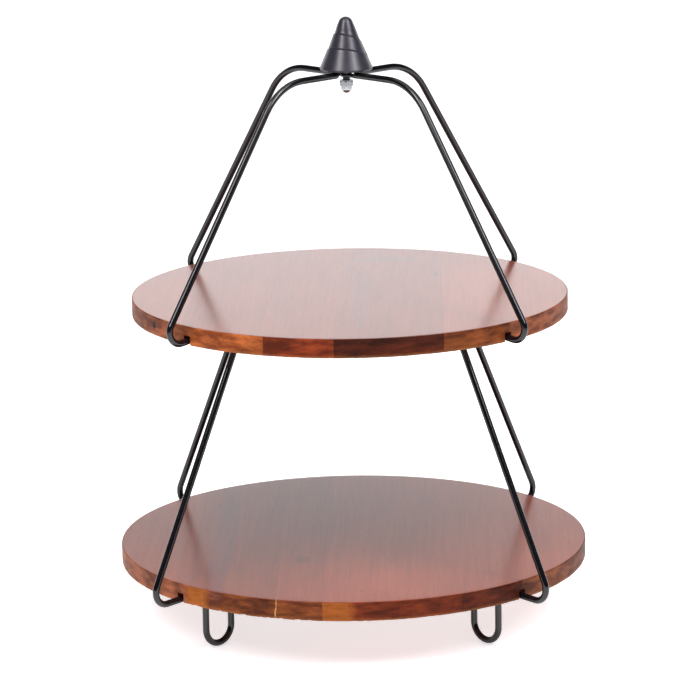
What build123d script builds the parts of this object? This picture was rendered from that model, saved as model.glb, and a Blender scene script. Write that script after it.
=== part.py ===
from build123d import *
from math import radians, tan
import os

# Two-tier cake stand: two bent rods cross on a stud and carry two round boards.
# Millimetres, +Z up. The origin is on the table, under the middle of the stand.
# Staves run along Y. The two rods stand in vertical planes at 45 degrees to X.

# ---- boards ---------------------------------------------------------------
lower_radius = 178.0
upper_radius = 165.0
board_thickness = 14.0
lower_joints = [-120.0, -54.0, -20.0, 81.0, 126.0]      # X of each glued edge
upper_joints = [-121.0, -60.0, -9.0, 70.0, 118.0]
rim_rounding = 1.5
slot_depth = 7.0
slot_side_gap = 0.7                                     # rod to slot wall

# ---- rods -----------------------------------------------------------------
rod_radius = 2.5
bend_radius = 10.0                                      # hooks under each board
turn_down_radius = 9.0                                  # inner bend of the upper run
shoulder_radius = 44.0
foot_corner_radius = 6.0
seat_gap = 0.3                                          # rod to slot ceiling
crossing_gap = 0.1                                      # between the crossing rods
flat_thickness, flat_reach, flat_ramp = 2.4, 8.0, 3.0   # pressed flat where they cross at the hub
flat_rise = 0.6                                         # where the flats meet, above the rod centres
eye_radius = 4.7                                        # the flat round the stud

# ---- heights above the table ----------------------------------------------
lower_underside = 42.0
tier_clear_height = 178.0                               # lower top to upper underside
hub_over_upper_top = 165.75                             # upper top to the rod centres at the hub
hook_below_seat = 3.0                                   # hook bottom below the seat run

# ---- distances from the centre line ---------------------------------------
upper_hook_reach = 16.5                                 # rod centre outside the rim
lower_hook_reach = 23.5
turn_down_at = 117.0                                    # upper run turns down here
seat_length = 26.0
shoulder_at = 68.5
foot_outer = 153.5
foot_width = 25.0
dip_start, dip_end = 34.0, 22.0                         # where one rod dips under the other

# ---- hub fittings -----------------------------------------------------------
stud_radius = 3.0
stud_gap = 0.1                                          # stud to the flats' holes
thread_gap = 0.05
face_gap = 0.05
washer_gap, washer_land, washer_thickness = 0.2, 1.7, 0.6
nut_hang = 2.4                                          # bare stud between the flats and the washer
nut_wall, nut_dome_inset = 2.0, 1.0                     # at the flats, and the dome's step
nut_hex_height, nut_height = 3.6, 9.35
nut_thread_depth = 6.4
finial_lift = 0.6                                       # the insert stands proud by this
finial_radius, finial_height, finial_tip_radius = 19.75, 39.5, 5.6
finial_base_height, finial_edge = 1.6, 0.8
insert_wall, insert_length = 1.0, 10.5
insert_gap = 0.05
finial_bore_depth = 15.0

# ---- worked out from the above ----------------------------------------------
lower_top = lower_underside + board_thickness
upper_underside = lower_top + tier_clear_height
upper_top = upper_underside + board_thickness
hub = upper_top + hub_over_upper_top                    # centre of both rods
flat_over = hub + flat_rise + crossing_gap / 2          # underside of the upper flat
flat_under = flat_over - crossing_gap - flat_thickness  # underside of the lower flat
lower_seat = lower_underside + slot_depth - rod_radius - seat_gap
upper_seat = upper_underside + slot_depth - rod_radius - seat_gap
cross_low = lower_seat - 2 * rod_radius - crossing_gap
upper_hook_at = upper_radius + upper_hook_reach
lower_hook_at = lower_radius + lower_hook_reach
foot_inner = foot_outer - foot_width
foot_bend_radius = foot_width / 2 - 0.1
slot_width = 2 * (rod_radius + slot_side_gap)
slot_inner_end = turn_down_at - rod_radius - 2.0
hook_rise = 1.35 * bend_radius                          # room for both arcs of a hook
turn_down_rise = 1.35 * turn_down_radius
washer_bore_radius = stud_radius + washer_gap
nut_flat_radius = stud_radius + nut_wall
nut_dome_radius = nut_flat_radius - nut_dome_inset
insert_radius = stud_radius + insert_wall
washer_top = flat_under - nut_hang
nut_top = washer_top - washer_thickness - face_gap
insert_bottom = flat_over + flat_thickness + face_gap
finial_base = insert_bottom - face_gap + finial_lift
stud_bottom = nut_top - nut_thread_depth
stud_top = insert_bottom + insert_length

os.makedirs("parts", exist_ok=True)


def write(builder, name):
    """Label a finished piece and write it under its own name."""
    builder.part.label = name
    export_step(builder.part, f"parts/{name}.step")


def rod_route(crossing):
    """Half of a rod's centre line, from the hub to the middle under the lower board.

    Each entry is (along the rod's plane, height, bend radius at that corner).
    """
    upper_run, lower_run = upper_seat - hook_below_seat, lower_seat - hook_below_seat
    gentle = 4 * rod_radius
    return [
        (0, hub, 0),
        (shoulder_at, hub, shoulder_radius),
        (upper_hook_at, upper_run + hook_rise, bend_radius),
        (upper_hook_at, upper_run, bend_radius),
        (turn_down_at + turn_down_radius + seat_length, upper_seat, bend_radius),
        (turn_down_at, upper_seat, turn_down_radius),
        (turn_down_at, upper_seat - turn_down_rise, turn_down_radius),
        (lower_hook_at, lower_run + hook_rise, bend_radius),
        (lower_hook_at, lower_run, bend_radius),
        (foot_outer, lower_seat - hook_below_seat / 3, foot_corner_radius),
        (foot_outer, rod_radius, foot_bend_radius),
        (foot_inner, rod_radius, foot_bend_radius),
        (foot_inner, lower_seat, foot_corner_radius),
        (dip_start, lower_seat, gentle),
        (dip_end, crossing, gentle),
        (0, crossing, 0),
    ]


def on_one_level(route):
    """Drop the corners that turn nothing, where the rod stays level past them."""
    kept = [route[0]]
    for before, here, after in zip(route, route[1:], route[2:]):
        first = Vector(here[0] - before[0], here[1] - before[1])
        second = Vector(after[0] - here[0], after[1] - here[1])
        if first.get_angle(second) > 0.01:
            kept.append(here)
    return kept + [route[-1]]


# ---- the two rods -------------------------------------------------------------
# Both are level at the hub, where they are pressed flat and bored for the stud. The
# one whose flat lies on top passes below the other under the lower board.
rods = [("frame_rod_over", 45, flat_over, cross_low), ("frame_rod_under", -45, flat_under, lower_seat)]
for name, bearing, flat, crossing in rods:
    turned = Plane.XY.rotated((0, 0, bearing))
    upright = Plane(origin=(0, 0, 0), x_dir=turned.x_dir, z_dir=-turned.y_dir)
    route = on_one_level(rod_route(crossing))
    ramp_end, clear = flat_reach + flat_ramp, 1.2 * rod_radius
    with BuildPart() as rod:
        with BuildLine(upright) as centre_line:
            FilletPolyline(*[corner[:2] for corner in route], radius=[corner[2] for corner in route[1:-1]])
        start = Plane(origin=centre_line.wires()[0] @ 0, z_dir=centre_line.wires()[0] % 0)
        with BuildSketch(start):
            Circle(rod_radius)
        sweep(path=centre_line.wires()[0])
        mirror(about=Plane(origin=(0, 0, 0), z_dir=turned.x_dir))
        for face, side in ((flat, -1), (flat + flat_thickness, 1)):
            rounded, outside = hub + side * clear, hub + side * 3 * rod_radius
            with BuildSketch(upright) as pressed_away:
                with BuildLine():
                    Polyline((-ramp_end, outside), (-ramp_end, rounded), (-flat_reach, face),
                             (flat_reach, face), (ramp_end, rounded), (ramp_end, outside), close=True)
                make_face()
            extrude(amount=2 * rod_radius, both=True, mode=Mode.SUBTRACT)
        with BuildSketch(turned.offset(flat)):
            Rectangle(2 * flat_reach + flat_ramp, 1.9 * rod_radius)
            Circle(eye_radius)
        extrude(amount=flat_thickness)
        with BuildSketch(turned.offset(flat - 1)):
            Circle(stud_radius + stud_gap)
        extrude(amount=flat_thickness + 2, mode=Mode.SUBTRACT)
    write(rod, name)

# ---- boards ---------------------------------------------------------------------
# Each board is edge-glued staves. The slots cross the whole lower board, and stop
# inside the turn-down on the upper one, where the rods go down past the board.
boards = [
    ("lower_stave", lower_radius, lower_underside, lower_joints, 0.0),
    ("upper_stave", upper_radius, upper_underside, upper_joints, slot_inner_end),
]
for prefix, radius, underside, joints, slot_from in boards:
    edges_x = [-radius - 1] + joints + [radius + 1]
    slot_length = radius + 1 - slot_from
    slot_middle = slot_from + slot_length / 2
    for number, (left, right) in enumerate(zip(edges_x, edges_x[1:]), start=1):
        with BuildPart() as stave:
            with BuildSketch(Plane.XY.offset(underside)):
                Circle(radius)
                with Locations(((left + right) / 2, 0)):
                    Rectangle(right - left, 2 * radius + 2, mode=Mode.INTERSECT)
            extrude(amount=board_thickness)
            rim = stave.edges().filter_by(GeomType.CIRCLE)
            fillet(rim, radius=rim_rounding)
            with BuildSketch(Plane.XY.offset(underside)):
                with PolarLocations(slot_middle, 4, start_angle=45):
                    Rectangle(slot_length, slot_width)
            extrude(amount=slot_depth, mode=Mode.SUBTRACT)
        write(stave, f"{prefix}_{number}")

# ---- stud ---------------------------------------------------------------------------
with BuildPart() as stud:
    with BuildSketch(Plane.XY.offset(stud_bottom + face_gap)):
        Circle(stud_radius)
    extrude(amount=stud_top - stud_bottom - face_gap)
    chamfer(stud.edges().filter_by(GeomType.CIRCLE), length=0.5)
write(stud, "hub_stud")

# ---- washer ---------------------------------------------------------------------------
with BuildPart() as washer:
    with BuildSketch(Plane.XY.offset(washer_top - washer_thickness)):
        Circle(washer_bore_radius + washer_land)
        Circle(washer_bore_radius, mode=Mode.SUBTRACT)
    extrude(amount=washer_thickness)
write(washer, "hub_washer")

# ---- acorn nut ------------------------------------------------------------------------
dome_start = nut_top - nut_hex_height
dome_straight = nut_height - nut_hex_height - nut_dome_radius
with BuildPart() as nut:
    with BuildSketch(Plane.XY.offset(dome_start)):
        RegularPolygon(nut_flat_radius, 6, major_radius=False)
    extrude(amount=nut_hex_height)
    with BuildSketch(Plane.XZ):
        with BuildLine():
            dome_low = dome_start - dome_straight
            Line((0, dome_start), (nut_dome_radius, dome_start))
            Line((nut_dome_radius, dome_start), (nut_dome_radius, dome_low))
            RadiusArc((nut_dome_radius, dome_low), (0, dome_low - nut_dome_radius), nut_dome_radius)
            Line((0, dome_low - nut_dome_radius), (0, dome_start))
        make_face()
    revolve(axis=Axis.Z)
    with BuildSketch(Plane.XY.offset(nut_top - nut_thread_depth)):
        Circle(stud_radius + thread_gap)
    extrude(amount=nut_thread_depth, mode=Mode.SUBTRACT)
write(nut, "acorn_nut")

# ---- finial ---------------------------------------------------------------------------
# A cone on a short straight base, with a round tip that meets the cone smoothly.
with BuildPart() as finial:
    with BuildSketch(Plane.XZ):
        with BuildLine():
            top = finial_base + finial_height
            rim_low = (finial_radius, finial_base)
            rim_high = (finial_radius, finial_base + finial_base_height)
            tip = CenterArc((0, top - finial_tip_radius), finial_tip_radius, 90, -68)
            Line((0, finial_base), rim_low)
            Line(rim_low, rim_high)
            Line(rim_high, tip @ 1)
            Line(tip @ 0, (0, finial_base))
        make_face()
    revolve(axis=Axis.Z)
    base_rim = finial.edges().filter_by(GeomType.CIRCLE).group_by(Axis.Z)[0]
    chamfer(base_rim, length=finial_edge)
    with BuildSketch(Plane.XY.offset(finial_base)):
        Circle(insert_radius + insert_gap)
    extrude(amount=finial_bore_depth, mode=Mode.SUBTRACT)
write(finial, "finial")

# ---- threaded insert --------------------------------------------------------------------
with BuildPart() as insert:
    with BuildSketch(Plane.XY.offset(insert_bottom)):
        Circle(insert_radius)
        Circle(stud_radius + thread_gap, mode=Mode.SUBTRACT)
    extrude(amount=insert_length)
write(insert, "finial_insert")
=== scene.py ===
# %% [markdown]
# # A two-tier cake stand
# Two round boards of glued staves sit in the hooks of two bent black rods, which
# cross under a cone-shaped finial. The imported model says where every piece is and
# how big it is. This notebook gives each piece its real surface and its finish.

# %% Load the frame
from math import radians

import bmesh
import bpy
import numpy as np
from mathutils import Matrix, Vector


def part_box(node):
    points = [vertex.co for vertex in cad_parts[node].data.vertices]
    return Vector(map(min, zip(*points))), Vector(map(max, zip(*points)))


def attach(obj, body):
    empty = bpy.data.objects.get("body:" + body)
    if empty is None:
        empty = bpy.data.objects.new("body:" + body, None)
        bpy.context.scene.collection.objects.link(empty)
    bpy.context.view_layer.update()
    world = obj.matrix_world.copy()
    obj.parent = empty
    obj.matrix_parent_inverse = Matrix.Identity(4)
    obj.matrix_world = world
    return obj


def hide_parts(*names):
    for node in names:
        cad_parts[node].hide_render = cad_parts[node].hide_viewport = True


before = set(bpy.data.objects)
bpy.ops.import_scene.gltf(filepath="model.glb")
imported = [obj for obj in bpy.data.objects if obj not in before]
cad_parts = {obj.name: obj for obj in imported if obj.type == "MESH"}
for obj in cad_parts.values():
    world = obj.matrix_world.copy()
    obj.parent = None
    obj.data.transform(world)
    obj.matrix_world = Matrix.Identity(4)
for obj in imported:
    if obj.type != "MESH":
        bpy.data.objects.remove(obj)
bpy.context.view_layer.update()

MM = 0.001

# %% [markdown]
# ## Surfaces from arrays
# Every new piece is a grid of points, worked out as one numpy array and stitched
# into quads. One function does the stitching, so a board, a rod and a nut differ
# only in the formula for their points. A grid could also be an extruded curve or
# a sculpted mesh, but a formula keeps the real sizes exact.

# %% Stitch a grid of points into a mesh
SMOOTH_BELOW = radians(38)


def skin(name, points, loop=False, caps=False):
    """Joins a (rows, columns, 3) grid into quads, each row a closed ring.

    loop joins the last ring to the first; caps closes both ends with a flat face.
    Rings that shrink to a point are merged, and the normals are turned outwards.
    """
    rows, columns = points.shape[:2]
    index = np.arange(rows * columns).reshape(rows, columns)
    index = np.concatenate([index, index[:, :1]], axis=1)
    if loop:
        index = np.concatenate([index, index[:1]], axis=0)
    quads = np.stack([index[:-1, :-1], index[:-1, 1:], index[1:, 1:], index[1:, :-1]], axis=-1)
    faces = quads.reshape(-1, 4).tolist()
    if caps:
        faces += [index[0, :-1].tolist(), index[-1, :-1].tolist()]
    mesh = bpy.data.meshes.new(name)
    mesh.from_pydata(points.reshape(-1, 3), [], faces)
    tidy(mesh)
    piece = bpy.data.objects.new(name, mesh)
    bpy.context.scene.collection.objects.link(piece)
    return piece


def tidy(mesh):
    """Merges points that fall together, turns faces outwards and shades smooth below a crease angle."""
    work = bmesh.new()
    work.from_mesh(mesh)
    bmesh.ops.remove_doubles(work, verts=work.verts, dist=1e-7)
    bmesh.ops.dissolve_degenerate(work, edges=work.edges, dist=1e-8)
    bmesh.ops.recalc_face_normals(work, faces=work.faces)
    work.to_mesh(mesh)
    work.free()
    mesh.shade_smooth()
    mesh.set_sharp_from_angle(angle=SMOOTH_BELOW)


def place(piece, material, body, slot, *nodes):
    """Gives a finished piece its material and its body, and hides the CAD nodes that it stands for; slot is
    not used.
    """
    piece.data.materials.clear()
    piece.data.materials.append(material)
    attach(piece, body)
    if nodes:
        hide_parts(*nodes)
    print(piece.name, len(piece.data.polygons), "faces")
    return piece


def wander(along, seed, cells):
    """Smooth random values from 0 to 1: a table of random numbers, read with cosine blending."""
    table = np.random.default_rng(seed).random(cells + 1)
    table[-1] = table[0]
    spot = (along % 1.0) * cells
    low = np.floor(spot).astype(int) % cells
    blend = 0.5 - 0.5 * np.cos((spot - np.floor(spot)) * np.pi)
    return table[low] * (1 - blend) + table[low + 1] * blend


# %% [markdown]
# ## Materials from nodes
# A material is a small program of nodes. Two helpers keep it readable: one adds a
# node and wires its inputs, the other starts a shared group with named sockets.
# The groups hold what more than one finish needs, and each material sets its own
# numbers on them.

# %% Helpers that add nodes
def add(tree, kind, inputs=None, **settings):
    """Adds a node; an input that is a socket is linked and any other value is set."""
    node = tree.nodes.new(kind)
    for key, value in settings.items():
        setattr(node, key, value)
    for key, value in (inputs or {}).items():
        if isinstance(value, bpy.types.NodeSocket):
            tree.links.new(value, node.inputs[key])
        else:
            node.inputs[key].default_value = value
    return node


def maths(tree, operation, first, second=0.0, third=0.0, clamp=False):
    """One Math node; returns its output."""
    node = add(tree, "ShaderNodeMath", {0: first, 1: second, 2: third}, operation=operation, use_clamp=clamp)
    return node.outputs[0]


def stretch(tree, vector, scale):
    """A vector multiplied by another, part by part."""
    node = add(tree, "ShaderNodeVectorMath", {0: vector, 1: scale}, operation="MULTIPLY")
    return node.outputs[0]


def noise(tree, vector, scale, detail=2.0, roughness=0.5):
    """Smooth noise from 0 to 1."""
    values = {"Vector": vector, "Scale": scale, "Detail": detail, "Roughness": roughness}
    return add(tree, "ShaderNodeTexNoise", values).outputs["Fac"]


def ramp(tree, value, stops):
    """Maps a value to colours or greys; stops are (position, colour) pairs."""
    node = add(tree, "ShaderNodeValToRGB", {"Fac": value})
    points = node.color_ramp.elements
    while len(points) < len(stops):
        points.new(0.5)
    for point, (position, colour) in zip(points, stops):
        point.position = position
        point.color = (*colour, 1.0) if isinstance(colour, tuple) else (colour, colour, colour, 1.0)
    return node.outputs["Color"]


def mix(tree, share, first, second, blend="MIX"):
    """Blends two colours."""
    node = add(tree, "ShaderNodeMix", {"Factor": share}, data_type="RGBA", blend_type=blend)
    for socket, value in ((node.inputs[6], first), (node.inputs[7], second)):
        if isinstance(value, bpy.types.NodeSocket):
            tree.links.new(value, socket)
        else:
            socket.default_value = (*value, 1.0)
    return node.outputs[2]


def new_group(name, inputs, outputs):
    """An empty node group; each input is (name, kind, value) and each output (name, kind)."""
    group = bpy.data.node_groups.new(name, "ShaderNodeTree")
    for label, kind, value in inputs:
        socket = group.interface.new_socket(label, in_out="INPUT", socket_type=kind)
        socket.default_value = value
    for label, kind in outputs:
        group.interface.new_socket(label, in_out="OUTPUT", socket_type=kind)
    return group, group.nodes.new("NodeGroupInput").outputs, group.nodes.new("NodeGroupOutput").inputs


def use(tree, group, inputs):
    """Places a group in a material with its own values; returns its outputs."""
    node = tree.nodes.new("ShaderNodeGroup")
    node.node_tree = group
    for key, value in inputs.items():
        if isinstance(value, bpy.types.NodeSocket):
            tree.links.new(value, node.inputs[key])
        else:
            node.inputs[key].default_value = value
    return node.outputs


def start_material(name):
    """A material with a Principled BSDF; returns (material, tree, shader)."""
    material = bpy.data.materials.new(name)
    material.use_nodes = True
    tree = material.node_tree
    return material, tree, tree.nodes["Principled BSDF"]


def bump(tree, height, distance, strength=1.0, normal=None):
    """Turns a height from 0 to 1 into a normal; distance is the real height in metres."""
    inputs = {"Height": height, "Distance": distance, "Strength": strength}
    if normal is not None:
        inputs["Normal"] = normal
    return add(tree, "ShaderNodeBump", inputs).outputs["Normal"]


FLOAT, VECTOR = "NodeSocketFloat", "NodeSocketVector"

# %% [markdown]
# ## How wood is figured
# A stave is sawn from a log, so its figure is the log's growth rings, cut by the
# board. The rings are tubes around a pith that runs along the stave. Their radius
# is the distance to that line, bent by slow noise, and the same rings show as
# streaks on the top and as arcs on the sawn ends. Pores and fibres are noise drawn
# out along the grain. An image would show the seams of its edges; this has none.

# %% The wood group: rings, streaks, fibres, pores and clouds
grain, given, gives = new_group(
    "grain",
    [("Place", VECTOR, (0, 0, 0)), ("Ring Spacing", FLOAT, 0.004), ("Warp", FLOAT, 0.02)],
    [("Rings", FLOAT), ("Streaks", FLOAT), ("Fibres", FLOAT), ("Pores", FLOAT), ("Clouds", FLOAT)],
)
across = stretch(grain, given["Place"], (1.0, 0.0, 1.0))
slow = stretch(grain, given["Place"], (1.0, 0.10, 1.0))
bend = maths(grain, "SUBTRACT", noise(grain, slow, 16.0, 3.0), 0.5)
drawn_out = stretch(grain, given["Place"], (1.0, 0.05, 1.0))
fine_bend = maths(grain, "SUBTRACT", noise(grain, drawn_out, 90.0, 2.0), 0.5)
reach = add(grain, "ShaderNodeVectorMath", {0: across}, operation="LENGTH").outputs["Value"]
reach = maths(grain, "MULTIPLY_ADD", bend, given["Warp"], reach)
reach = maths(grain, "MULTIPLY_ADD", fine_bend, maths(grain, "MULTIPLY", given["Warp"], 0.12), reach)
turns = maths(grain, "DIVIDE", reach, given["Ring Spacing"])
part = maths(grain, "FRACT", turns)
late = maths(grain, "POWER", part, 2.4)
soft_end = maths(grain, "SUBTRACT", 1.0, maths(grain, "POWER", part, 14.0))
which = add(grain, "ShaderNodeTexWhiteNoise", {"W": maths(grain, "FLOOR", turns)}, noise_dimensions="1D")
depth = maths(grain, "MULTIPLY_ADD", which.outputs["Value"], 0.7, 0.3)
rings = maths(grain, "MULTIPLY", maths(grain, "MULTIPLY", late, soft_end), depth)
grain.links.new(rings, gives["Rings"])
streak = noise(grain, stretch(grain, given["Place"], (1.0, 0.030, 1.0)), 240.0, 4.0, 0.65)
grain.links.new(streak, gives["Streaks"])
fibre = noise(grain, stretch(grain, given["Place"], (1.0, 0.018, 1.0)), 1300.0, 3.0, 0.65)
grain.links.new(fibre, gives["Fibres"])
pore = noise(grain, stretch(grain, given["Place"], (1.0, 0.045, 1.0)), 1100.0, 1.0)
pore = add(grain, "ShaderNodeMapRange", {"Value": pore, "From Min": 0.64, "From Max": 0.74}).outputs[0]
grain.links.new(pore, gives["Pores"])
clouds = noise(grain, stretch(grain, given["Place"], (1.0, 0.3, 1.0)), 22.0, 3.0, 0.55)
grain.links.new(clouds, gives["Clouds"])
print("group", grain.name, "outputs", [socket.name for socket in gives if socket.name])

# %% [markdown]
# ## Rims, patches and mottling
# Three more groups. The first tells from the place alone what is rim and what is the
# splintered lower edge. The second is a soft patch with a ragged outline, for a knot,
# a mineral streak or a drop of filler. The third gives the fine mottling that breaks
# up the gloss of every finish.

# %% The rim, patch and mottle groups
rim_marks, given, gives = new_group(
    "rim_marks",
    [("Place", VECTOR, (0, 0, 0)), ("Radius", FLOAT, 0.17), ("Bottom", FLOAT, 0.04)],
    [("Side", FLOAT), ("Lower Edge", FLOAT)],
)
apart = add(rim_marks, "ShaderNodeSeparateXYZ", {0: given["Place"]}).outputs
flat = stretch(rim_marks, given["Place"], (1.0, 1.0, 0.0))
out = add(rim_marks, "ShaderNodeVectorMath", {0: flat}, operation="LENGTH").outputs["Value"]
inside = maths(rim_marks, "SUBTRACT", given["Radius"], out)
side = add(rim_marks, "ShaderNodeMapRange", {"Value": inside, "From Min": 0.9 * MM, "From Max": 0.5 * MM})
rim_marks.links.new(side.outputs[0], gives["Side"])
scuffs = noise(rim_marks, given["Place"], 260.0, 4.0, 0.7)
drop = maths(rim_marks, "ABSOLUTE", maths(rim_marks, "SUBTRACT", apart["Z"], given["Bottom"]))
away = maths(rim_marks, "ADD", drop, maths(rim_marks, "MAXIMUM", inside, 0.0))
away = maths(rim_marks, "MULTIPLY_ADD", maths(rim_marks, "SUBTRACT", scuffs, 0.5), 2.6 * MM, away)
near = add(rim_marks, "ShaderNodeMapRange", {"Value": away, "From Min": 2.4 * MM, "From Max": 0.9 * MM})
rim_marks.links.new(near.outputs[0], gives["Lower Edge"])

patch, given, gives = new_group(
    "patch",
    [("Place", VECTOR, (0, 0, 0)), ("Centre", VECTOR, (0, 0, 0)), ("Size", VECTOR, (0.01, 0.01, 0.01)),
     ("Ragged", FLOAT, 0.3), ("Soft", FLOAT, 0.3)],
    [("Mask", FLOAT), ("Reach", FLOAT)],
)
two_places = {0: given["Place"], 1: given["Centre"]}
from_centre = add(patch, "ShaderNodeVectorMath", two_places, operation="SUBTRACT").outputs[0]
scaled = add(patch, "ShaderNodeVectorMath", {0: from_centre, 1: given["Size"]}, operation="DIVIDE").outputs[0]
far = add(patch, "ShaderNodeVectorMath", {0: scaled}, operation="LENGTH").outputs["Value"]
rough = maths(patch, "SUBTRACT", noise(patch, scaled, 1.6, 4.0, 0.6), 0.5)
far = maths(patch, "MULTIPLY_ADD", rough, given["Ragged"], far)
patch.links.new(far, gives["Reach"])
fade_from = maths(patch, "ADD", 1.0, given["Soft"])
fade = add(patch, "ShaderNodeMapRange", {"Value": far, "From Min": fade_from, "From Max": 1.0})
patch.links.new(fade.outputs[0], gives["Mask"])

mottle, given, gives = new_group(
    "mottle",
    [("Place", VECTOR, (0, 0, 0)), ("Size", FLOAT, 0.01)],
    [("Patches", FLOAT), ("Grit", FLOAT)],
)
times = maths(mottle, "DIVIDE", 1.0, given["Size"])
mottle.links.new(noise(mottle, given["Place"], times, 4.0, 0.6), gives["Patches"])
mottle.links.new(noise(mottle, given["Place"], maths(mottle, "MULTIPLY", times, 14.0), 2.0), gives["Grit"])

# %% [markdown]
# ## The stained staves
# Each stave is its own plank with its own colour, so each gets its own material
# from one function: a place in its log, a depth of colour (on the lower board partly
# painted light) and its rim's hue and paleness (partly painted sheen). The rings are
# as wide in every stave. The stain is red-brown under a satin lacquer, which is the
# coat of the shader. The lacquer mirrors the bright backdrop at a low angle, and that
# pale sheen is what most of a board's top shows.

# %% One material for each stave
LACQUER_COAT, LACQUER_ROUGHNESS = 0.6, 0.17
RING_SPACING, RING_WARP, RING_SHOW = 4.2 * MM, 12 * MM, 0.18
FACE_PALE, FACE_DEEP = (0.420, 0.094, 0.040), (0.330, 0.062, 0.028)
# Rim hues: partly stain, and on the outer staves (rosy_sheen) partly painted sheen.
EDGE_TINTS = {
    "rosy_sheen": (1.0, 0.30, 0.12),
    "amber": (1.0, 0.26, 0.06),
    "russet": (1.0, 0.16, 0.035),
}
EDGE_DEEPENS = (0.38, 0.32, 0.33)
MARK_COLOURS = {
    "smear": (0.070, 0.040, 0.062),
    "filler": (0.480, 0.260, 0.090),
    "flash": (0.300, 0.085, 0.012),
    "speck": (0.020, 0.010, 0.008),
    "knot": (0.060, 0.020, 0.010),
}


def add_mark(tree, here, colour, kind, centre, size, strength, side):
    """Paints one patch over a colour; a flash shows only on the rim, and a knot has rings of its own."""
    ragged, soft = {"filler": (1.4, 0.15), "knot": (0.15, 0.15)}.get(kind, (0.5, 0.5))
    found = use(tree, patch, {"Place": here, "Centre": centre, "Size": size, "Ragged": ragged, "Soft": soft})
    share = maths(tree, "MULTIPLY", found["Mask"], strength)
    if kind == "flash":
        share = maths(tree, "MULTIPLY", share, side)
    if kind == "knot":
        wave = maths(tree, "SINE", maths(tree, "MULTIPLY", found["Reach"], 12.0))
        share = maths(tree, "MULTIPLY", share, maths(tree, "MULTIPLY_ADD", wave, 0.5, 0.5))
    return mix(tree, share, colour, MARK_COLOURS[kind])


def stave_material(name, radius, bottom, pith, tone_and_painted_light, tint, light, marks=()):
    """Stained wood. pith is the log's centre beside the stave, and tone_and_painted_light scales the colour
    of its faces: the stave's own depth of colour, and on the lower board also painted light against the upper
    board's shadow.

    The turned edge took the stain unevenly: tint names its hue, and light is how pale it stayed. Both are
    partly painted sheen, most on the outer staves, whose rims are paler and bluer in place of the lacquer's
    gleam.
    """
    material, tree, shader = start_material(name)
    here = add(tree, "ShaderNodeTexCoord").outputs["Object"]
    mapping = {"Vector": here, "Location": pith, "Rotation": (radians(1.2), 0.0, radians(0.8))}
    in_log = add(tree, "ShaderNodeMapping", mapping).outputs[0]
    wood = use(tree, grain, {"Place": in_log, "Ring Spacing": RING_SPACING, "Warp": RING_WARP})
    edges = use(tree, rim_marks, {"Place": here, "Radius": radius, "Bottom": bottom})
    spots = use(tree, mottle, {"Place": stretch(tree, here, (0.30, 0.30, 1.0)), "Size": 0.0065})
    flecks = use(tree, mottle, {"Place": stretch(tree, here, (0.22, 0.22, 1.0)), "Size": 0.0022})
    side = edges["Side"]
    # Face colour: on the lower board its scale also carries painted light.
    pale, deep = np.array(FACE_PALE) * tone_and_painted_light, np.array(FACE_DEEP) * tone_and_painted_light
    edge_pale_and_sheen = np.array(EDGE_TINTS[tint]) * light
    edge_deep = edge_pale_and_sheen * EDGE_DEEPENS
    lit = ramp(tree, wood["Streaks"], [(0.36, 0.0), (0.66, 1.0)])
    figured = maths(tree, "MULTIPLY", wood["Rings"], RING_SHOW)
    face = mix(tree, lit, deep, pale)
    face = mix(tree, figured, face, 0.5 * deep)
    clouded = ramp(tree, wood["Clouds"], [(0.35, 0.80), (0.65, 1.0)])
    face = mix(tree, 0.8, face, clouded, blend="MULTIPLY")
    turned = mix(tree, ramp(tree, spots["Patches"], [(0.38, 0.0), (0.62, 1.0)]), edge_deep, edge_pale_and_sheen)
    turned = mix(tree, maths(tree, "MULTIPLY", wood["Rings"], 0.35), turned, edge_deep)
    turned = mix(tree, 0.9, turned, ramp(tree, wood["Clouds"], [(0.36, 0.55), (0.62, 1.0)]), blend="MULTIPLY")
    colour = mix(tree, side, face, turned)
    for kind, centre, size, strength in marks:
        colour = add_mark(tree, here, colour, kind, centre, size, strength, side)
    shade = ramp(tree, wood["Fibres"], [(0.30, 0.74), (0.60, 1.0)])
    colour = mix(tree, 0.8, colour, shade, blend="MULTIPLY")
    shade = ramp(tree, flecks["Patches"], [(0.36, 0.60), (0.60, 1.0)])
    colour = mix(tree, maths(tree, "MULTIPLY", side, 0.6), colour, shade, blend="MULTIPLY")
    colour = mix(tree, maths(tree, "MULTIPLY", wood["Pores"], 0.35), colour, (0.020, 0.006, 0.003))
    bare = mix(tree, 0.5, colour, (0.42, 0.17, 0.05))
    colour = mix(tree, maths(tree, "MULTIPLY", edges["Lower Edge"], 0.35), colour, bare)
    tree.links.new(colour, shader.inputs["Base Color"])
    gloss = maths(tree, "MULTIPLY_ADD", wood["Fibres"], 0.12, 0.24)
    gloss = maths(tree, "MULTIPLY_ADD", side, 0.25, gloss)
    tree.links.new(gloss, shader.inputs["Roughness"])
    # The rim gets almost no specular or coat; its sheen is painted into the rim colours instead.
    tree.links.new(maths(tree, "MULTIPLY_ADD", side, -0.32, 0.4), shader.inputs["Specular IOR Level"])
    coat = maths(tree, "MULTIPLY_ADD", side, -0.96 * LACQUER_COAT, LACQUER_COAT)
    tree.links.new(coat, shader.inputs["Coat Weight"])
    height = maths(tree, "MULTIPLY_ADD", wood["Pores"], -0.9, wood["Fibres"])
    normal = bump(tree, height, 0.035 * MM, 0.5)
    normal = bump(tree, spots["Patches"], 0.08 * MM, 0.3, normal)
    tree.links.new(normal, shader.inputs["Normal"])
    tree.links.new(normal, shader.inputs["Coat Normal"])
    shader.inputs["Coat Roughness"].default_value = LACQUER_ROUGHNESS
    return material


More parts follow.
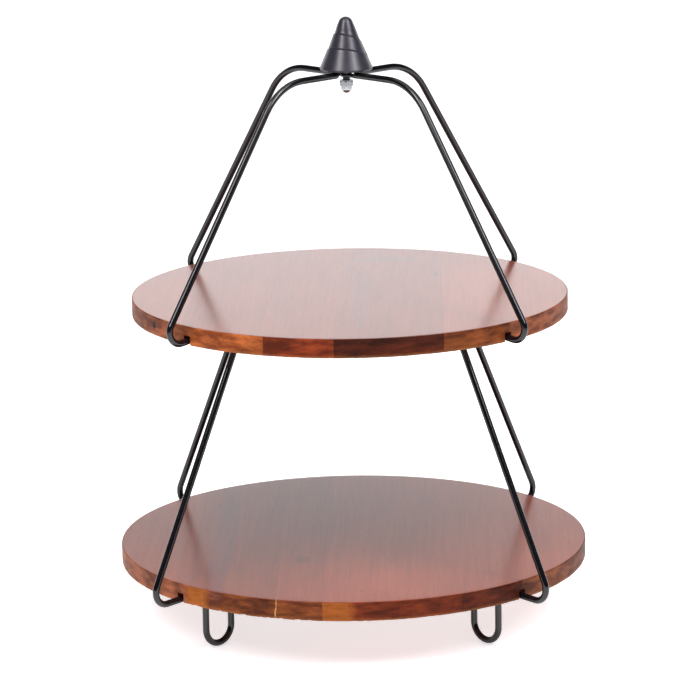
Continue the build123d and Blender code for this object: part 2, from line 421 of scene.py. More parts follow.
# %% [markdown]
# ## The boards
# A board is a disc, turned after its staves were glued. A stave is then what lies
# between two cuts along the grain. It could be a disc cut by booleans, which leaves
# ragged triangles, so it is drawn as rings instead: each ring is the board's section
# at one place across the stave, over the top, round the rim, back along the
# underside and up again. The lower edge has small splinters, as a saw leaves.

# %% Read both boards from the frame
STAVES = 6


def board_facts(prefix):
    """Radius, underside, top and the X of every cut, read from the staves' boxes."""
    boxes = [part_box(f"{prefix}_stave_{number}") for number in range(1, STAVES + 1)]
    cuts = [low[0] for low, _ in boxes] + [boxes[-1][1][0]]
    radius = max(high[1] for _, high in boxes)
    return radius, boxes[0][0][2], boxes[0][1][2], cuts


lower_board, upper_board = board_facts("lower"), board_facts("upper")
lower_radius, lower_bottom, lower_top, _ = lower_board
upper_radius, upper_bottom, upper_top, _ = upper_board
print("lower board radius", lower_radius, "upper board radius", upper_radius)

# %% Draw one stave
TOP_EDGE, BOTTOM_EDGE = 0.7 * MM, 0.6 * MM
CHIP = 0.9 * MM


def stave_points(radius, bottom, top, left, right, chips, seed, rows=84, across=110):
    """Rings of the board's section from X = left to X = right.

    A point on the rim is (level radius) times the cosine and sine of its bearing, and
    a point on a face is on a line between the front and back rim at that X. Splinters
    push the lower edge in and up by a random height that depends on the bearing.
    """
    turn = np.linspace(0, np.pi / 2, 7)
    side = np.linspace(0, 1, 10)[1:-1]
    inset = np.concatenate([TOP_EDGE * (1 - np.sin(turn)), 0 * side, BOTTOM_EDGE * (1 - np.cos(turn))])
    high = top - TOP_EDGE * (1 - np.cos(turn))
    low = bottom + BOTTOM_EDGE * (1 - np.sin(turn))
    height = np.concatenate([high, high[-1] + (low[0] - high[-1]) * side, low])
    swing = np.linspace(-1, 1, across)[1:-1]
    level = np.concatenate([0 * swing + inset[0], inset, 0 * swing + inset[-1], inset[::-1]])
    tall = np.concatenate([0 * swing + top, height, 0 * swing + bottom, height[::-1]])
    reach = np.concatenate([swing, np.ones(len(inset)), -swing, -np.ones(len(inset))])
    ring = radius - level
    first = np.arccos(np.clip(left / ring, -1, 1))
    last = np.arccos(np.clip(right / ring, -1, 1))
    share = np.linspace(0, 1, rows)[:, None]
    bearing = first + (last - first) * share
    around = np.where(reach < 0, -bearing, bearing) / (2 * np.pi)
    small = np.maximum(wander(around, seed, 420) - 0.55, 0)
    large = np.maximum(wander(around, seed + 1, 90) - 0.6, 0)
    rough = small + 0.6 * large
    near_low = np.clip(1 - (tall - bottom) / (2.2 * MM), 0, 1) ** 1.5 * (np.abs(reach) == 1)
    bite = chips * CHIP * rough * near_low
    wave = 0.12 * MM * (wander(around, seed + 2, 14) - 1.0) * (np.abs(reach) == 1)
    x = (ring - bite + wave) * np.cos(bearing)
    y = (ring - bite + wave) * np.sin(bearing) * reach
    z = tall + bite * 0.9
    points = np.stack([x, y, z + 0 * x], axis=-1)
    points[0, :, 0], points[-1, :, 0] = left, right
    return points


# %% [markdown]
# ## The slots under the boards
# The rods lie in slots that a router cut from the rim inwards: right across the
# lower board, and as far as the rod's turn under the upper one. Here a cut is a cut:
# a long bar with the cutter's section is taken away from each stave that it crosses.

# %% Cut the slots
ROD = 2.5 * MM
SLOT_HALF_WIDTH, SLOT_DEPTH, SLOT_CORNER = 3.2 * MM, 7.0 * MM, 0.5 * MM
TURN_DOWN_AT = 117.0 * MM
UPPER_SLOT_FROM = TURN_DOWN_AT - ROD - 2.0 * MM


def slot_bar(bottom, start, end, bearing):
    """The router's path as a closed bar: its section is a rectangle with two eased corners."""
    ease = np.linspace(0, np.pi / 2, 5)
    corner_y = SLOT_HALF_WIDTH - SLOT_CORNER * (1 - np.cos(ease))
    corner_z = SLOT_DEPTH - SLOT_CORNER * (1 - np.sin(ease))
    across = np.concatenate([[SLOT_HALF_WIDTH], corner_y, -corner_y[::-1], [-SLOT_HALF_WIDTH]])
    up = np.concatenate([[-1 * MM], corner_z, corner_z[::-1], [-1 * MM]]) + bottom
    along = np.array([start, end])[:, None]
    x = along * np.cos(bearing) - across * np.sin(bearing)
    y = along * np.sin(bearing) + across * np.cos(bearing)
    return np.stack([x, y, up + 0 * x], axis=-1)


def cut(piece, bars):
    """Takes the bars away from a piece for good, and deletes them."""
    for bar in bars:
        tool = piece.modifiers.new("slot", "BOOLEAN")
        tool.operation, tool.solver, tool.object = "DIFFERENCE", "EXACT", bar
    evaluated = piece.evaluated_get(bpy.context.evaluated_depsgraph_get())
    carved = bpy.data.meshes.new_from_object(evaluated)
    piece.modifiers.clear()
    piece.data = carved
    for bar in bars:
        bpy.data.objects.remove(bar)
    carved.shade_smooth()
    carved.set_sharp_from_angle(angle=SMOOTH_BELOW)


def make_board(prefix, facts, slots, chips, looks):
    """All staves of one board, slotted, each with its own material."""
    radius, bottom, top, cuts = facts
    for number, (left, right, look) in enumerate(zip(cuts, cuts[1:], looks), start=1):
        name = f"{prefix}_stave_{number}"
        points = stave_points(radius, bottom, top, left, right, chips[number - 1], 10 * number + len(prefix))
        piece = skin(f"{name}_wood", points, caps=True)
        bars = []
        for start, end, bearing in slots:
            ends = sorted((start * np.cos(bearing), end * np.cos(bearing)))
            if ends[1] > left - 5 * MM and ends[0] < right + 5 * MM:
                bars.append(skin("bar", slot_bar(bottom, start, end, bearing), caps=True))
        cut(piece, bars)
        material = stave_material(name, radius, bottom, **look)
        place(piece, material, f"{prefix}_board", f"{prefix}_wood", name)


past = 3 * MM
lower_slots = [(-lower_radius - past, lower_radius + past, radians(angle)) for angle in (45, -45)]
upper_slots = [(UPPER_SLOT_FROM, upper_radius + past, radians(angle)) for angle in (45, 135, 225, 315)]
lower_front = -lower_radius
# The lower board's tones stand about a quarter above the upper board's: painted light that makes up for the
# shadow the upper board casts on it.
lower_looks = [
    dict(pith=(0.150, 0.0, 0.220), tone_and_painted_light=0.67, tint="rosy_sheen", light=0.35),
    dict(pith=(0.090, 0.0, 0.260), tone_and_painted_light=0.55, tint="amber", light=0.21, marks=(
        ("flash", (-0.1180, lower_front * 0.75, 0.050), (0.010, 0.060, 0.020), 1.0),
        ("smear", (-0.0990, -0.010, lower_top), (0.007, 0.120, 0.010), 0.30),
        ("filler", (-0.0538, lower_front * 0.953, 0.0462), (0.0010, 0.010, 0.0040), 0.9))),
    dict(pith=(0.036, 0.3, 0.200), tone_and_painted_light=0.60, tint="amber", light=0.24, marks=(
        ("knot", (-0.0370, -0.0669, lower_top), (0.0062, 0.0105, 0.010), 0.75),
        ("filler", (-0.0546, lower_front * 0.958, 0.0525), (0.0012, 0.014, 0.0042), 0.9))),
    dict(pith=(-0.030, 0.0, 0.245), tone_and_painted_light=0.72, tint="russet", light=0.18, marks=(
        ("flash", (-0.0130, lower_front, 0.050), (0.012, 0.050, 0.020), 0.7),)),
    dict(pith=(-0.110, 0.5, 0.230), tone_and_painted_light=0.65, tint="russet", light=0.11),
    dict(pith=(-0.150, 0.1, 0.260), tone_and_painted_light=0.75, tint="rosy_sheen", light=0.24),
]
upper_looks = [
    dict(pith=(0.140, 0.0, -0.470), tone_and_painted_light=0.57, tint="rosy_sheen", light=0.38, marks=(
        ("speck", (-0.1432, -0.0830, 0.2415), (0.0016, 0.003, 0.0022), 0.9),)),
    dict(pith=(0.090, 0.2, -0.500), tone_and_painted_light=0.49, tint="amber", light=0.47),
    dict(pith=(0.030, 0.0, -0.480), tone_and_painted_light=0.48, tint="russet", light=0.25),
    dict(pith=(-0.030, 0.4, -0.490), tone_and_painted_light=0.44, tint="russet", light=0.09, marks=(
        ("smear", (0.0085, -0.0200, upper_top), (0.006, 0.080, 0.010), 0.26),
        ("smear", (0.0270, 0.1180, upper_top), (0.020, 0.008, 0.010), 0.34),
        ("speck", (0.0655, 0.0570, upper_top), (0.0012, 0.004, 0.002), 0.8))),
    dict(pith=(-0.095, 0.0, -0.500), tone_and_painted_light=0.57, tint="amber", light=0.21),
    dict(pith=(-0.150, 0.1, -0.470), tone_and_painted_light=0.62, tint="rosy_sheen", light=0.33),
]
lower_chips, upper_chips = (0.4, 1.0, 1.0, 0.6, 0.5, 0.3), (0.2, 0.3, 0.3, 0.4, 0.3, 0.2)
make_board("lower", lower_board, lower_slots, lower_chips, lower_looks)
make_board("upper", upper_board, upper_slots, upper_chips, upper_looks)

# %% [markdown]
# ## The bent rods
# Each rod is one length of round bar, bent cold and welded into a closed loop. A
# bent bar is straight runs joined by arcs that leave each run smoothly. The centre
# line is worked out from its corners and one bend radius for each, then a circle is
# carried along it. A Bezier curve with a bevel would round the corners unevenly.

# %% The centre line of a bent rod
def bent_line(corners, bends, straight_step=12 * MM):
    """Runs between corners, joined by arcs.

    An arc starts (radius times the tangent of half the turn) before its corner. A point
    on it is centre + radius * (cosine * outward + sine * forward) as the angle goes up
    to the turn.
    """
    corners = np.array(corners, float)
    pieces, last = [], corners[0]
    for before, here, after, bend in zip(corners, corners[1:], corners[2:], bends):
        come = (here - before) / np.linalg.norm(here - before)
        leave = (after - here) / np.linalg.norm(after - here)
        turn = np.arccos(np.clip(come @ leave, -1, 1))
        if turn < 1e-6:
            continue
        setback = bend * np.tan(turn / 2)
        begin, finish = here - come * setback, here + leave * setback
        inward = leave - come * (come @ leave)
        centre = begin + bend * inward / np.linalg.norm(inward)
        count = max(2, int(np.linalg.norm(begin - last) / straight_step))
        pieces.append(last + (begin - last) * np.linspace(0, 1, count, endpoint=False)[:, None])
        angle = np.linspace(0, turn, max(4, int(turn / radians(5))), endpoint=False)[:, None]
        pieces.append(centre + (begin - centre) * np.cos(angle) + bend * come * np.sin(angle))
        last = finish
    count = max(2, int(np.linalg.norm(corners[-1] - last) / straight_step))
    pieces.append(last + (corners[-1] - last) * np.linspace(0, 1, count)[:, None])
    return np.concatenate(pieces)


def carry_section(path, side, wide, tall, lift, square, around=28):
    """A bar round a closed path; side is a direction that the path never takes.

    Each ring lies square to the path: its first axis is side, and its second is the
    cross product of side and the path. A point is (half width) * cosine along the
    first and (half height) * sine along the second, each raised to a power that
    squares the corners, and the whole ring is lifted along the second.
    """
    ahead = np.roll(path, -1, axis=0) - np.roll(path, 1, axis=0)
    ahead /= np.linalg.norm(ahead, axis=1, keepdims=True)
    first = side - ahead * (ahead @ side)[:, None]
    first /= np.linalg.norm(first, axis=1, keepdims=True)
    second = np.cross(ahead, first)
    angle = np.linspace(0, 2 * np.pi, around, endpoint=False)[None]
    power = 2 / (2 + 4 * square[:, None])
    across = wide[:, None] * np.sign(np.cos(angle)) * np.abs(np.cos(angle)) ** power
    up = tall[:, None] * np.sign(np.sin(angle)) * np.abs(np.sin(angle)) ** power
    sense = np.sign(second[:, 2:]) * lift[:, None]
    return path[:, None] + first[:, None] * across[..., None] + second[:, None] * (up + sense)[..., None]


# %% Bend both rods
UPPER_HOOK_REACH, HOOK_BELOW_SEAT = 16.5 * MM, 3.0 * MM
BEND, TURN_DOWN, SHOULDER, FOOT_CORNER = 10 * MM, 9 * MM, 44 * MM, 6 * MM
SEAT_LENGTH, SEAT_GAP = 26 * MM, 0.3 * MM
SHOULDER_AT, FOOT_OUTER, FOOT_WIDTH = 68.5 * MM, 153.5 * MM, 25 * MM
DIP_START, DIP_END = 34 * MM, 22 * MM
STUD, STUD_GAP, CROSSING_GAP = 3 * MM, 0.1 * MM, 0.1 * MM
FLAT, FLAT_REACH, FLAT_RAMP, EYE = 2.4 * MM, 8 * MM, 3 * MM, 4.7 * MM
HUB = 413.75 * MM
flat_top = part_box("frame_rod_over")[1][2]
lower_hook_at = (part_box("frame_rod_over")[1][0] - ROD) * np.sqrt(2)
upper_hook_at = upper_radius + UPPER_HOOK_REACH
lower_seat = lower_bottom + SLOT_DEPTH - ROD - SEAT_GAP
upper_seat = upper_bottom + SLOT_DEPTH - ROD - SEAT_GAP


def rod_corners(crossing):
    """Corners as (along, up), with the bend at each but the first and last."""
    upper_run, lower_run = upper_seat - HOOK_BELOW_SEAT, lower_seat - HOOK_BELOW_SEAT
    foot_inner, foot_bend = FOOT_OUTER - FOOT_WIDTH, FOOT_WIDTH / 2 - 0.1 * MM
    rise, turn_rise, gentle = 1.35 * BEND, 1.35 * TURN_DOWN, 4 * ROD
    route = [
        (0, HUB, 0),
        (SHOULDER_AT, HUB, SHOULDER),
        (upper_hook_at, upper_run + rise, BEND),
        (upper_hook_at, upper_run, BEND),
        (TURN_DOWN_AT + TURN_DOWN + SEAT_LENGTH, upper_seat, BEND),
        (TURN_DOWN_AT, upper_seat, TURN_DOWN),
        (TURN_DOWN_AT, upper_seat - turn_rise, TURN_DOWN),
        (lower_hook_at, lower_run + rise, BEND),
        (lower_hook_at, lower_run, BEND),
        (FOOT_OUTER, lower_seat - HOOK_BELOW_SEAT / 3, FOOT_CORNER),
        (FOOT_OUTER, ROD, foot_bend),
        (foot_inner, ROD, foot_bend),
        (foot_inner, lower_seat, FOOT_CORNER),
        (DIP_START, lower_seat, gentle),
        (DIP_END, crossing, gentle),
        (0, crossing, 0),
    ]
    return [(along, 0, up) for along, up, _ in route], [bend for *_, bend in route[1:-1]]


def bent_rod(bearing, flat_middle, crossing, weld_at, weld_height):
    """The whole closed rod: half of it, and the same half turned over the middle.

    At the hub the round section eases into a flat one over the ramp, and the flat
    widens into an eye: its half width there is the height of a circle over the rod.
    """
    corners, bends = rod_corners(crossing)
    half = bent_line(corners, bends)
    near_hub = FLAT_REACH + FLAT_RAMP + 1 * MM
    fine = np.linspace(0, near_hub, 56)
    fine = np.stack([fine, 0 * fine, 0 * fine + HUB], axis=1)
    half = np.concatenate([fine, half[np.argmax(half[:, 0] > near_hub):]])
    other = (half * (-1, 1, 1))[::-1][1:-1]
    path = np.concatenate([half, other])
    along, height = np.abs(path[:, 0]), path[:, 2]
    round_share = np.clip((along - FLAT_REACH) / FLAT_RAMP, 0, 1)
    round_share = round_share**2 * (3 - 2 * round_share)
    flat_share = (1 - round_share) * (height > HUB - ROD)
    weld = np.exp(-(((path[:, 0] - weld_at) / (2.2 * MM)) ** 2)) * (height < lower_seat + ROD)
    bead = 1 + weld_height / ROD * weld * (0.7 + 0.3 * np.cos(path[:, 0] / (0.5 * MM)))
    eye = np.sqrt(np.maximum(EYE**2 - along**2, 0)) * (height > HUB - ROD)
    wide = np.maximum(ROD * (bead - 0.02 * flat_share), eye)
    tall = ROD * bead * (1 - flat_share) + FLAT / 2 * flat_share
    lift = (flat_middle - HUB) * flat_share
    world = path[:, :1] * (np.cos(bearing), np.sin(bearing), 0) + path[:, 2:] * (0, 0, 1)
    side = np.array([-np.sin(bearing), np.cos(bearing), 0])
    return carry_section(world, side, wide, tall, lift, flat_share)


def bore_bar(low, high, radius):
    """A closed cylinder on the hub's axis, for cutting the stud's hole."""
    bearing = np.linspace(0, 2 * np.pi, 48, endpoint=False)
    rim = np.stack([radius * np.cos(bearing), radius * np.sin(bearing)], axis=1)
    return np.stack([np.column_stack([rim, np.full(48, height)]) for height in (low, high)])


# %% [markdown]
# ## The black coat
# The rods are dipped or sprayed black and come out satin, with a faint orange peel,
# dust in the coat and a little rubbing where a board is lifted off. A nearly black
# base of low roughness gives the thin, sharp highlight along each run, and a clear
# coat in the shader would only add a second one.

# %% Coat the rods
def black_coat(name, peel, rub):
    """Satin black over steel; peel is the height of the orange peel, rub how much it is worn."""
    material, tree, shader = start_material(name)
    here = add(tree, "ShaderNodeTexCoord").outputs["Object"]
    marks = use(tree, mottle, {"Place": here, "Size": 0.006})
    broad = use(tree, mottle, {"Place": here, "Size": 0.05})
    colour = mix(tree, marks["Patches"], (0.0020, 0.0017, 0.0022), (0.0042, 0.0036, 0.0046))
    dust = ramp(tree, marks["Grit"], [(0.66, 0.0), (0.76, 1.0)])
    colour = mix(tree, maths(tree, "MULTIPLY", dust, 0.25), colour, (0.045, 0.043, 0.042))
    worn = ramp(tree, broad["Patches"], [(0.60, 0.0), (0.75, 1.0)])
    colour = mix(tree, maths(tree, "MULTIPLY", worn, rub), colour, (0.014, 0.012, 0.014))
    tree.links.new(colour, shader.inputs["Base Color"])
    gloss = maths(tree, "MULTIPLY_ADD", marks["Patches"], 0.06, 0.11)
    tree.links.new(gloss, shader.inputs["Roughness"])
    normal = bump(tree, marks["Grit"], peel, 0.4)
    tree.links.new(normal, shader.inputs["Normal"])
    shader.inputs["Specular IOR Level"].default_value = 0.42
    return material


rod_black = black_coat("rod_black", 0.002 * MM, 0.35)
cross_low = lower_seat - 2 * ROD - CROSSING_GAP
over_middle, under_middle = flat_top - FLAT / 2, flat_top - CROSSING_GAP - 1.5 * FLAT
for name, bearing, flat_middle, crossing, weld_at, weld_height in (
    ("frame_rod_over", radians(45), over_middle, cross_low, 13 * MM, 0.35 * MM),
    ("frame_rod_under", radians(-45), under_middle, lower_seat, 60 * MM, 0.2 * MM),
):
    bar = skin(f"{name}_bar", bent_rod(bearing, flat_middle, crossing, weld_at, weld_height), loop=True)
    cut(bar, [skin("bore", bore_bar(HUB - 9 * MM, HUB + 9 * MM, STUD + STUD_GAP), caps=True)])
    place(bar, rod_black, "frame", "rod_black", name)

# %% [markdown]
# ## The finial
# The finial is a cone with a ledge that winds down it, as if it were rolled from a
# strip. It is a turned profile whose radius also depends on the bearing: each turn
# of the strip stands proud at its upper edge and draws in towards its lower end,
# where a fine groove parts it from the next. The lowest turn is plain. The winding is
# tipped, so its front is higher than its back. The bore for the brass insert is part
# of the same profile.

# %% Draw the finial
LEDGE, GROOVE, LEDGE_PITCH, LEDGE_LEFT, LEDGE_TIP = 0.55 * MM, 0.60 * MM, 11.4 * MM, 444.3 * MM, 0.25
FINIAL_WALL, FINIAL_TIP, FINIAL_EDGE = 1.6 * MM, 5.6 * MM, 0.8 * MM
INSERT, INSERT_GAP, BORE_DEPTH = 4 * MM, 0.05 * MM, 15 * MM
finial_low, finial_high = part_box("finial")
finial_base, finial_top = finial_low[2], finial_high[2]
finial_radius = finial_high[0]


def finial_points(around=180):
    """Rows go from the middle of the bore, out over the base, up the cone and over the tip.

    The winding: turns is (height - tip * radius towards the front - start) over pitch,
    plus the bearing over a full turn. Its fraction is 0 just above a ledge and 1 just
    below the next, and (1 - fraction) draws the radius in, with a groove near 0.
    """
    meet = radians(22)
    tip_centre = finial_top - FINIAL_TIP
    tip = np.linspace(meet, np.pi / 2, 22)
    slope = np.linspace(0, 1, 200)[1:]
    edge = np.linspace(0, np.pi / 2, 7)
    bore = INSERT + INSERT_GAP
    radius = np.concatenate([
        [0, bore * 0.5, bore], bore + 0 * np.linspace(0, 1, 8),
        np.linspace(bore, finial_radius - FINIAL_EDGE, 10)[1:],
        finial_radius - FINIAL_EDGE * (1 - np.sin(edge)), finial_radius + 0 * np.linspace(0, 1, 4)[1:],
        finial_radius + (FINIAL_TIP * np.cos(meet) - finial_radius) * slope, FINIAL_TIP * np.cos(tip)[1:]])
    height = finial_base + np.concatenate([
        [BORE_DEPTH] * 3, np.linspace(BORE_DEPTH, 0, 8), 0 * np.linspace(0, 1, 10)[1:],
        FINIAL_EDGE * (1 - np.cos(edge)), np.linspace(FINIAL_EDGE, FINIAL_WALL, 4)[1:],
        FINIAL_WALL + (tip_centre + FINIAL_TIP * np.sin(meet) - finial_base - FINIAL_WALL) * slope,
        tip_centre - finial_base + FINIAL_TIP * np.sin(tip)[1:]])
    radius[-1] = 0
    outer = np.arange(len(radius)) > 24
    bearing = np.linspace(0, 2 * np.pi, around, endpoint=False)
    tipped = height[:, None] + LEDGE_TIP * radius[:, None] * np.sin(bearing)
    turns = (tipped - LEDGE_LEFT) / LEDGE_PITCH + (bearing - np.pi) / (2 * np.pi)
    part = turns % 1.0
    seam = np.clip(part / 0.012, 0, 1)
    draw = (LEDGE * (1 - part) + GROOVE * np.exp(-((part / 0.055) ** 2))) * (turns > -1)
    on_cone = np.clip((height - finial_base - FINIAL_WALL) / (1.5 * MM), 0, 1)
    on_cone = on_cone * np.clip((finial_top - height - 6 * MM) / (4 * MM), 0, 1) * outer
    reach = radius[:, None] - draw * seam * on_cone[:, None]
    return np.stack([reach * np.cos(bearing), reach * np.sin(bearing), height[:, None] + 0 * reach], axis=-1)


def satin_grey():
    """Dark grey, satin, with faint turning lines and a little dust."""
    material, tree, shader = start_material("finial_satin")
    here = add(tree, "ShaderNodeTexCoord").outputs["Object"]
    marks = use(tree, mottle, {"Place": here, "Size": 0.008})
    lines = noise(tree, stretch(tree, here, (40.0, 40.0, 2600.0)), 1.0, 2.0)
    colour = mix(tree, marks["Patches"], (0.014, 0.0125, 0.018), (0.024, 0.022, 0.030))
    dust = ramp(tree, marks["Grit"], [(0.64, 0.0), (0.74, 1.0)])
    colour = mix(tree, maths(tree, "MULTIPLY", dust, 0.3), colour, (0.08, 0.08, 0.085))
    tree.links.new(colour, shader.inputs["Base Color"])
    tree.links.new(maths(tree, "MULTIPLY_ADD", marks["Patches"], 0.08, 0.27), shader.inputs["Roughness"])
    normal = bump(tree, lines, 0.02 * MM, 0.35)
    normal = bump(tree, marks["Grit"], 0.02 * MM, 0.3, normal)
    tree.links.new(normal, shader.inputs["Normal"])
    shader.inputs["Specular IOR Level"].default_value = 0.40
    return material


place(skin("finial_cone", finial_points()), satin_grey(), "finial_head", "finial", "finial")

# %% [markdown]
# ## Threads, nut and washer
# The stud is M6: a ridge that climbs 1 mm in each turn. As with the finial, that is a
# radius which depends on height and bearing. The acorn nut is a hexagon for part of
# its height, with corners taken off by a cone, and a dome below it.

# %% Draw the stud, the insert, the washer and the nut
PITCH, THREAD, THREAD_GAP, WASHER_GAP = 1.0 * MM, 0.55 * MM, 0.05 * MM, 0.2 * MM
NUT_HEX, NUT_DOME, DOME_STEP = 3.6 * MM, 4.0 * MM, 0.12 * MM
NUT_BORE_DEPTH, NUT_BORE_EASE = 6.4 * MM, 0.4 * MM


def thread_points(radius, low, high, inner=None, around=48, per_turn=14):
    """A threaded rod, or with inner a sleeve whose inside is threaded.

    The radius falls by the thread's depth and comes back as a rounded wave, once per
    pitch, and the wave's place turns with the bearing.
    """
    height = np.linspace(low, high, int((high - low) / PITCH * per_turn))
    bearing = np.linspace(0, 2 * np.pi, around, endpoint=False)
    q = height[:, None] / PITCH - bearing / (2 * np.pi)
    wave = np.clip(np.abs(q % 1.0 - 0.5) * 2.6 - 0.15, 0, 1)
    fade = np.clip(np.minimum(height - low, high - height) / (0.7 * MM), 0, 1)[:, None]
    if inner is None:
        reach = radius - THREAD * (1 - (1 - wave) * fade)
        rows = [(0 * reach[:1], low), (reach[:1], low), *[(reach[k:k + 1], h) for k, h in enumerate(height)]]
        rows += [(reach[-1:], high), (0 * reach[:1], high)]
    else:
        reach = inner + THREAD * 0.6 * (1 - wave) * fade
        knurl = radius - 0.12 * MM * (1 + np.cos(24 * bearing))[None] / 2
        rows = [(reach[k:k + 1], h) for k, h in enumerate(height)]
        rows += [(knurl, high), (knurl, low), (reach[:1], low)]
    grid = np.concatenate([r for r, _ in rows])
    tall = np.array([h for _, h in rows])[:, None]
    return np.stack([grid * np.cos(bearing), grid * np.sin(bearing), tall + 0 * grid], axis=-1)


def nut_points(low, high, hex_height, half_flats, dome, bore, bore_depth, around=192):
    """Rows go from the top of the bore down it, out over the top face, down the flats and over the dome.

    The hexagon's radius at a bearing is half the width over the flats, divided by the
    cosine of the angle from the nearest flat, and no more than the cone allows.
    """
    bearing = np.linspace(0, 2 * np.pi, around, endpoint=False)
    flat = half_flats / np.cos((bearing + np.pi / 6) % (np.pi / 3) - np.pi / 6)
    corner = half_flats / np.cos(np.pi / 6)
    top, hex_low = high, high - hex_height
    dome_turn = np.linspace(0, np.pi / 2, 20)
    straight = high - low - hex_height - dome
    bore_end = top - bore_depth
    rows = [(0 * bearing, bore_end), (bore + 0 * bearing, bore_end),
            (bore + 0 * bearing, top - NUT_BORE_EASE), (bore + NUT_BORE_EASE + 0 * bearing, top)]
    for drop in np.linspace(0, 0.7, 8) * MM:
        rows.append((np.minimum(flat, corner - 0.75 * MM + drop * 1.1), top - drop))
    for h in np.linspace(top - 0.8 * MM, hex_low + 0.6 * MM, 8):
        rows.append((flat, h))
    for rise in np.linspace(0.5, 0, 6) * MM:
        rows.append((np.minimum(flat, corner - 0.55 * MM + rise * 1.1), hex_low + rise))
    rows.append((dome + DOME_STEP + 0 * bearing, hex_low))
    for turn in np.linspace(0, np.pi / 2, 6):
        out, down = DOME_STEP * (1 - np.sin(turn)), DOME_STEP * (1 - np.cos(turn))
        rows.append((dome + out + 0 * bearing, hex_low - down - 0.02 * MM))
    rows.append((dome + 0 * bearing, hex_low - straight))
    for turn in dome_turn[1:]:
        rows.append((dome * np.cos(turn) + 0 * bearing, hex_low - straight - dome * np.sin(turn)))
    reach = np.array([r for r, _ in rows])
    reach[-1] = 0
    tall = np.array([h for _, h in rows])[:, None]
    return np.stack([reach * np.cos(bearing), reach * np.sin(bearing), tall + 0 * reach], axis=-1)


def washer_points(low, high, inner, outer, around=96):
    """A ring whose section is a rectangle with eased corners."""
    ease = 0.12 * MM
    turn = np.linspace(0, np.pi / 2, 5)
    out_r = np.concatenate([outer - ease * (1 - np.sin(turn)), outer - ease * (1 - np.cos(turn))])
    out_z = np.concatenate([high - ease * (1 - np.cos(turn)), low + ease * (1 - np.sin(turn))])
    in_r = np.concatenate([inner + ease * (1 - np.sin(turn)), inner + ease * (1 - np.cos(turn))])
    in_z = np.concatenate([low + ease * (1 - np.cos(turn)), high - ease * (1 - np.sin(turn))])
    radius, height = np.concatenate([out_r, in_r]), np.concatenate([out_z, in_z])
    bearing = np.linspace(0, 2 * np.pi, around, endpoint=False)[:, None]
    return np.stack([radius * np.cos(bearing), radius * np.sin(bearing), height + 0 * bearing], axis=-1)


def plated(name, colour, gloss, grit):
    """A bright metal with fine scratches; gloss is its roughness and grit how much that varies."""
    material, tree, shader = start_material(name)
    here = add(tree, "ShaderNodeTexCoord").outputs["Object"]
    marks = use(tree, mottle, {"Place": here, "Size": 0.003})
    tint = mix(tree, marks["Patches"], colour, tuple(0.82 * part for part in colour))
    tree.links.new(tint, shader.inputs["Base Color"])
    tree.links.new(maths(tree, "MULTIPLY_ADD", marks["Patches"], grit, gloss), shader.inputs["Roughness"])
    tree.links.new(bump(tree, marks["Grit"], 0.006 * MM, 0.4), shader.inputs["Normal"])
    shader.inputs["Metallic"].default_value = 1.0
    return material


zinc = plated("zinc", (0.44, 0.445, 0.46), 0.20, 0.20)
# The stud's zinc is darker than the washer's: painted shade for the shadow the stud stands in between the
# rods and the finial.
shade_darkened_zinc = plated("shade_darkened_zinc", (0.16, 0.16, 0.17), 0.34, 0.20)
chrome = plated("chrome", (0.40, 0.405, 0.42), 0.05, 0.07)
brass = plated("brass", (0.72, 0.50, 0.22), 0.20, 0.15)
stud_low, stud_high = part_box("hub_stud")
stud = skin("hub_stud_thread", thread_points(STUD, stud_low[2], stud_high[2]))
place(stud, shade_darkened_zinc, "frame", "zinc", "hub_stud")
insert_low, insert_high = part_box("finial_insert")
sleeve = thread_points(INSERT, insert_low[2], insert_high[2], inner=STUD + THREAD_GAP)
place(skin("finial_insert_sleeve", sleeve, loop=True), brass, "finial_carrier", "brass", "finial_insert")
washer_low, washer_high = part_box("hub_washer")
ring = washer_points(washer_low[2], washer_high[2], STUD + WASHER_GAP, washer_high[0])
place(skin("hub_washer_ring", ring, loop=True), zinc, "nut_carrier", "zinc", "hub_washer")
nut_low, nut_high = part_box("acorn_nut")
nut = nut_points(nut_low[2], nut_high[2], NUT_HEX, nut_high[1], NUT_DOME, STUD + THREAD_GAP, NUT_BORE_DEPTH)
place(skin("acorn_nut_shell", nut), chrome, "nut", "chrome", "acorn_nut")

# %% [markdown]
# ## The studio
# The stand is on a pale floor in front of a white sweep, under a bright silk. The
# sweep is bright where it meets the floor, which is what the boards mirror, and the
# room is dark around the camera, which keeps the rods black. Two large soft boxes in
# front, each with a brighter core, draw the thin highlights on the rods and the cone.

# %% Floor, sky and lamps
def pale_floor():
    """Matt white, faintly uneven, lit a little from below so that shadows stay light."""
    material, tree, shader = start_material("pale_floor")
    here = add(tree, "ShaderNodeTexCoord").outputs["Object"]
    marks = use(tree, mottle, {"Place": here, "Size": 0.4})
    colour = mix(tree, marks["Patches"], (0.90, 0.895, 0.89), (0.92, 0.92, 0.92))
    tree.links.new(colour, shader.inputs["Base Color"])
    shader.inputs["Roughness"].default_value = 0.45
    shader.inputs["Specular IOR Level"].default_value = 0.25
    shader.inputs["Emission Color"].default_value = (0.94, 0.985, 1.0, 1.0)
    shader.inputs["Emission Strength"].default_value = 0.64
    return material


FLOOR_REACH = 9.0
floor_mesh = bpy.data.meshes.new("floor")
floor_corners = [(x * FLOOR_REACH, y * FLOOR_REACH, 0) for x, y in ((-1, -1), (1, -1), (1, 1), (-1, 1))]
floor_mesh.from_pydata(floor_corners, [], [(0, 1, 2, 3)])
floor = bpy.data.objects.new("floor", floor_mesh)
bpy.context.scene.collection.objects.link(floor)
floor_mesh.materials.append(pale_floor())

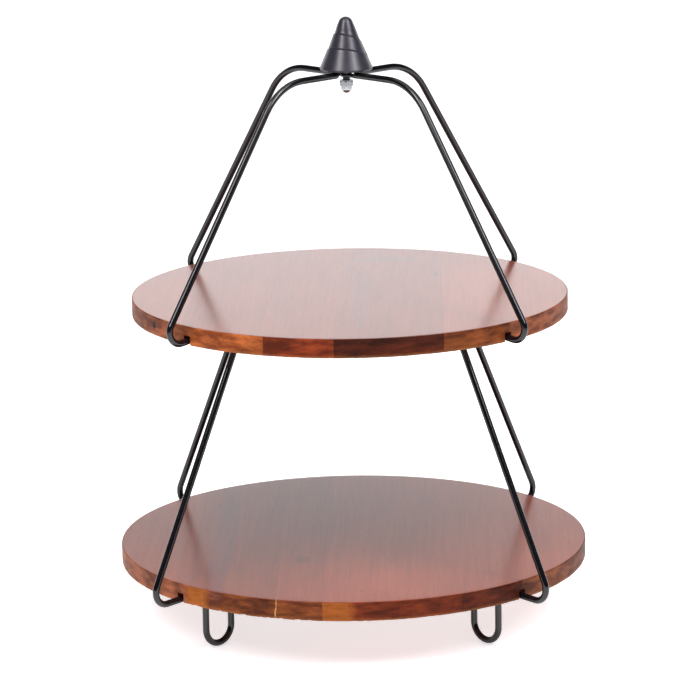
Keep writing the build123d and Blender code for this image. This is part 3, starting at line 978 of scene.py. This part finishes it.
world = bpy.data.worlds.new("studio")
bpy.context.scene.world = world
world.use_nodes = True
tree = world.node_tree
facing = add(tree, "ShaderNodeSeparateXYZ", {0: add(tree, "ShaderNodeTexCoord").outputs["Generated"]}).outputs
to_the_back = {"Value": facing["Y"], "From Min": 0.15, "From Max": 0.75}
behind = add(tree, "ShaderNodeMapRange", to_the_back).outputs[0]
sweep = ramp(tree, facing["Z"], [(0.0, 1.0), (0.225, 1.0), (0.258, 0.27), (0.285, 0.03), (0.34, 0.0)])
silk = ramp(tree, facing["Z"], [(0.74, 0.0), (0.86, 1.0)])
glow = maths(tree, "MULTIPLY_ADD", maths(tree, "MULTIPLY", behind, sweep), 1.88, 0.02)
glow = maths(tree, "MULTIPLY_ADD", silk, 1.25, glow)
tree.links.new(glow, tree.nodes["Background"].inputs["Strength"])
tree.nodes["Background"].inputs["Color"].default_value = (0.995, 0.99, 1.0, 1.0)


def soft_box(name, place_at, look_at, width, height, power, colour):
    """An area lamp turned to face a point."""
    lamp = bpy.data.lights.new(name, "AREA")
    lamp.shape, lamp.size, lamp.size_y, lamp.energy, lamp.color = "RECTANGLE", width, height, power, colour
    holder = bpy.data.objects.new(name, lamp)
    bpy.context.scene.collection.objects.link(holder)
    holder.location = place_at
    holder.rotation_euler = (Vector(look_at) - Vector(place_at)).to_track_quat("-Z", "Y").to_euler()


middle = (0.0, 0.0, 0.22)
soft_box("left_box", (-0.63, -0.89, 1.39), middle, 0.80, 1.1, 15, (1.0, 0.95, 0.99))
soft_box("left_core", (-0.62, -0.88, 1.38), middle, 0.11, 1.1, 10, (1.0, 0.96, 1.0))
soft_box("right_box", (0.80, -0.74, 1.39), middle, 1.05, 1.1, 18, (0.96, 0.95, 1.0))
soft_box("right_core", (0.79, -0.73, 1.38), middle, 0.14, 1.1, 11, (0.96, 0.96, 1.0))

# %% [markdown]
# ## The camera
# The camera is about 2.7 metres away and well above the stand, and looks down at it
# through a long lens, so the two boards look alike in size. It leans by about a degree.

# %% Place the camera
DISTANCE, EYE_HEIGHT, LOOK_DOWN, LEAN, ROUND = 2.668, 0.820, radians(13.04), radians(-0.9), radians(1.1)
LENS, SENSOR = 185.2457, 36.0
AXIS_OFFSET = -0.5 * MM

camera_data = bpy.data.cameras.new("camera")
camera = bpy.data.objects.new("camera", camera_data)
bpy.context.scene.collection.objects.link(camera)
forward = Vector((0, np.cos(LOOK_DOWN), -np.sin(LOOK_DOWN)))
up = Vector((0, np.sin(LOOK_DOWN), np.cos(LOOK_DOWN)))
right = Vector((1, 0, 0))
leaned_right = right * np.cos(LEAN) + up * np.sin(LEAN)
leaned_up = up * np.cos(LEAN) - right * np.sin(LEAN)
axes = Matrix((leaned_right, leaned_up, -forward)).transposed().to_4x4()
stand_at = Matrix.Translation((AXIS_OFFSET, -DISTANCE, EYE_HEIGHT)) @ axes
camera.matrix_world = Matrix.Rotation(ROUND, 4, "Z") @ stand_at
camera_data.sensor_width, camera_data.lens = SENSOR, LENS
bpy.context.scene.camera = camera
bpy.context.scene.view_settings.view_transform = "Standard"
